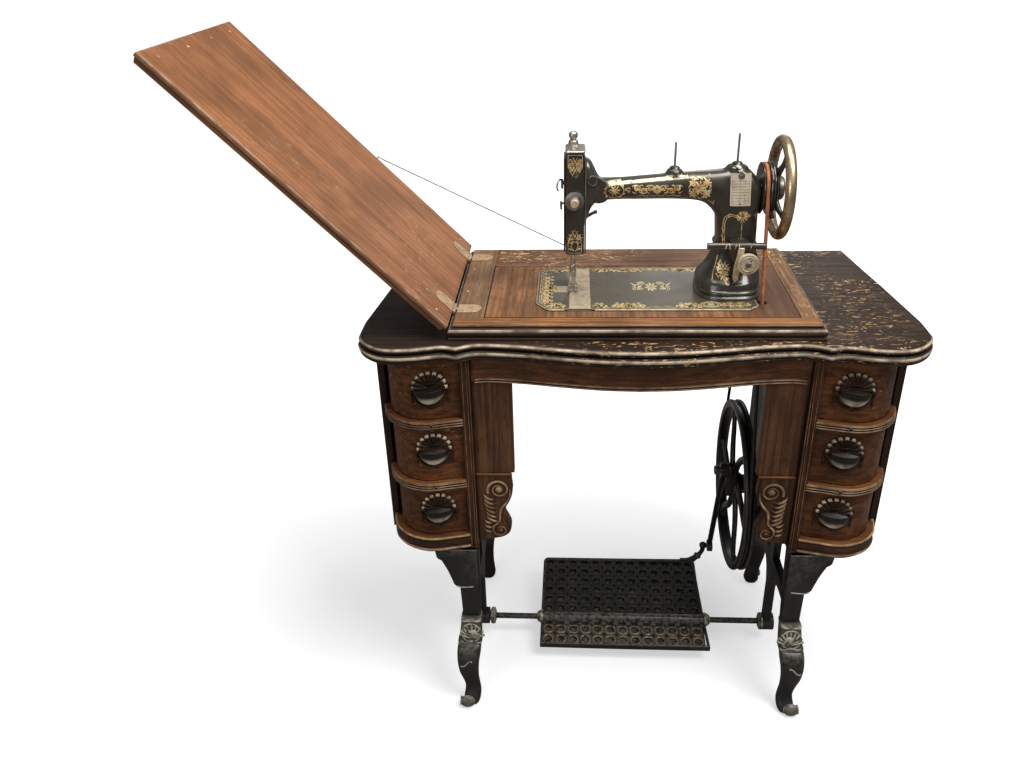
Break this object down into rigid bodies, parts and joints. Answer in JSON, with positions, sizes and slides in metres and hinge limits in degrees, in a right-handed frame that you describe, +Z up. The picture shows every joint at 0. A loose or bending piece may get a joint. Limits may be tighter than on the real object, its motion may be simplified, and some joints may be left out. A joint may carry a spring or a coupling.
{
  "type": "treadle sewing machine",
  "caption": "Treadle sewing machine: a black tilting sewing head in a dark oak drawer cabinet with an opened lid, on a cast-iron base with a belt-driven wheel.",
  "frame": {"origin": "centre of the bounding box on the floor, below the cabinet and its opened lid", "axes": "+X to the sewer's right, +Y from the sewer to the back, +Z up"},
  "size_m": [1.1788, 0.4882, 1.1918],
  "materials": {
    "oak": "worn varnish over brown oak",
    "dark_oak": "dark varnish, worn at the edges",
    "iron": "black enamel, worn",
    "japan": "gloss black japan with gold ornament",
    "nickel": "nickel plate, slightly dull",
    "brass": "tarnished brass",
    "bronze": "plating worn to bronze on the rim",
    "leather": "tan leather"
  },
  "bodies": {
    "cabinet": {"base_end_left": "iron", "base_end_right": "iron", "treadle_rod": "iron", "wheel_axle": "nickel", "wheel_hanger": "iron", "drive_belt": "leather", "table_top": "dark_oak", "well_frame": "oak", "machine_panel": "oak", "dust_tray": "oak", "case_left": "oak", "case_right": "oak", "apron": "oak", "knee_board_left": "oak", "knee_board_right": "oak", "scroll_bracket_left": "oak", "scroll_bracket_right": "oak", "lid_hinge_front_frame_leaf": "brass", "lid_hinge_back_frame_leaf": "brass", "head_hinge_pin_left": "nickel", "head_hinge_pin_right": "nickel", "lid_stay_wire": "nickel"},
    "lid": {"lid": "oak", "lid_hinge_front_lid_leaf": "brass", "lid_hinge_back_lid_leaf": "brass"},
    "treadle": {"treadle": "iron"},
    "drive_wheel": {"drive_wheel": "iron"},
    "pitman": {"pitman": "iron"},
    "head": {"bed": "japan", "arm": "japan", "head_cap": "nickel", "face_plate": "japan", "number_plate": "nickel", "spool_pin_left": "nickel", "spool_pin_right": "nickel", "winder_bracket": "japan", "needle_plate": "nickel"},
    "hand_wheel": {"hand_wheel": "bronze", "arm_shaft": "nickel"},
    "clutch_knob": {"clutch_knob": "nickel"},
    "needle_bar": {"needle_bar": "nickel"},
    "presser_bar": {"presser_bar": "nickel"},
    "presser_lifter": {"presser_lifter": "nickel"},
    "take_up_lever": {"take_up_lever": "nickel"},
    "tension_dial": {"tension_dial": "nickel"},
    "winder_wheel": {"winder_wheel": "nickel"},
    "slide_plate_front": {"slide_plate_front": "nickel"},
    "slide_plate_rear": {"slide_plate_rear": "nickel"},
    "drawer_left_top": {"drawer_left_top": "oak", "pull_left_top": "dark_oak"},
    "drawer_left_middle": {"drawer_left_middle": "oak", "pull_left_middle": "dark_oak"},
    "drawer_left_bottom": {"drawer_left_bottom": "oak", "pull_left_bottom": "dark_oak"},
    "drawer_right_top": {"drawer_right_top": "oak", "pull_right_top": "dark_oak"},
    "drawer_right_middle": {"drawer_right_middle": "oak", "pull_right_middle": "dark_oak"},
    "drawer_right_bottom": {"drawer_right_bottom": "oak", "pull_right_bottom": "dark_oak"}
  },
  "joints": [
    {"name": "lid_hinge", "type": "hinge", "parent": "cabinet", "child": "lid", "pos_m": [-0.16656, 0.01614, 0.773], "axis": [0, 1, 0], "range_deg": [0, 70], "deforming": ["lid_stay_wire"]},
    {"name": "drawer_left_top_slide", "type": "slide", "parent": "cabinet", "child": "drawer_left_top", "axis": [0, -1, 0], "range_m": [0, 0.24]},
    {"name": "drawer_left_middle_slide", "type": "slide", "parent": "cabinet", "child": "drawer_left_middle", "axis": [0, -1, 0], "range_m": [0, 0.24]},
    {"name": "drawer_left_bottom_slide", "type": "slide", "parent": "cabinet", "child": "drawer_left_bottom", "axis": [0, -1, 0], "range_m": [0, 0.24]},
    {"name": "drawer_right_top_slide", "type": "slide", "parent": "cabinet", "child": "drawer_right_top", "axis": [0, -1, 0], "range_m": [0, 0.24]},
    {"name": "drawer_right_middle_slide", "type": "slide", "parent": "cabinet", "child": "drawer_right_middle", "axis": [0, -1, 0], "range_m": [0, 0.24]},
    {"name": "drawer_right_bottom_slide", "type": "slide", "parent": "cabinet", "child": "drawer_right_bottom", "axis": [0, -1, 0], "range_m": [0, 0.24]},
    {"name": "treadle_rock", "type": "hinge", "parent": "cabinet", "child": "treadle", "pos_m": [0.13344, -0.03786, 0.051], "axis": [1, 0, 0], "range_deg": [-22, 0]},
    {"name": "drive_wheel_spin", "type": "hinge", "parent": "cabinet", "child": "drive_wheel", "pos_m": [0.34744, 0.03614, 0.338], "axis": [1, 0, 0], "continuous": true},
    {"name": "pitman_turn", "type": "hinge", "parent": "drive_wheel", "child": "pitman", "pos_m": [0.31744, 0.03614, 0.37], "axis": [1, 0, 0], "continuous": true},
    {"name": "head_tilt", "type": "hinge", "parent": "cabinet", "child": "head", "pos_m": [0.13344, 0.08414, 0.77], "axis": [-1, 0, 0], "range_deg": [0, 60], "deforming": ["drive_belt"]},
    {"name": "hand_wheel_spin", "type": "hinge", "parent": "head", "child": "hand_wheel", "pos_m": [0.34644, -0.01786, 0.9457], "axis": [1, 0, 0], "continuous": true},
    {"name": "clutch_knob_turn", "type": "hinge", "parent": "hand_wheel", "child": "clutch_knob", "pos_m": [0.35344, -0.01786, 0.9457], "axis": [1, 0, 0], "range_deg": [0, 90]},
    {"name": "needle_bar_slide", "type": "slide", "parent": "head", "child": "needle_bar", "axis": [0, 0, 1], "range_m": [-0.028, 0]},
    {"name": "presser_lifter_turn", "type": "hinge", "parent": "head", "child": "presser_lifter", "pos_m": [0.03944, 0.01114, 0.886], "axis": [0, -1, 0], "range_deg": [0, 50]},
    {"name": "presser_bar_slide", "type": "slide", "parent": "head", "child": "presser_bar", "axis": [0, 0, 1], "range_m": [0, 0.006]},
    {"name": "take_up_swing", "type": "hinge", "parent": "head", "child": "take_up_lever", "pos_m": [0.00944, -0.01786, 0.956], "axis": [1, 0, 0], "range_deg": [-20, 20]},
    {"name": "tension_dial_turn", "type": "hinge", "parent": "head", "child": "tension_dial", "pos_m": [0.02944, -0.04986, 0.935], "axis": [0, 1, 0], "continuous": true},
    {"name": "winder_wheel_spin", "type": "hinge", "parent": "head", "child": "winder_wheel", "pos_m": [0.30544, -0.08386, 0.842], "axis": [0, 1, 0], "continuous": true},
    {"name": "slide_plate_front_pull", "type": "slide", "parent": "head", "child": "slide_plate_front", "axis": [0, -1, 0], "range_m": [0, 0.03]},
    {"name": "slide_plate_rear_pull", "type": "slide", "parent": "head", "child": "slide_plate_rear", "axis": [0, 1, 0], "range_m": [0, 0.006]}
  ],
  "couplings": [
    {"joint": "hand_wheel_spin", "follows": "drive_wheel_spin", "ratio": 4.2245},
    {"joint": "pitman_turn", "follows": "drive_wheel_spin", "ratio": -1},
    {"joint": "presser_lifter_turn", "follows": "presser_bar_slide", "rad_per_m": 145.4}
  ]
}
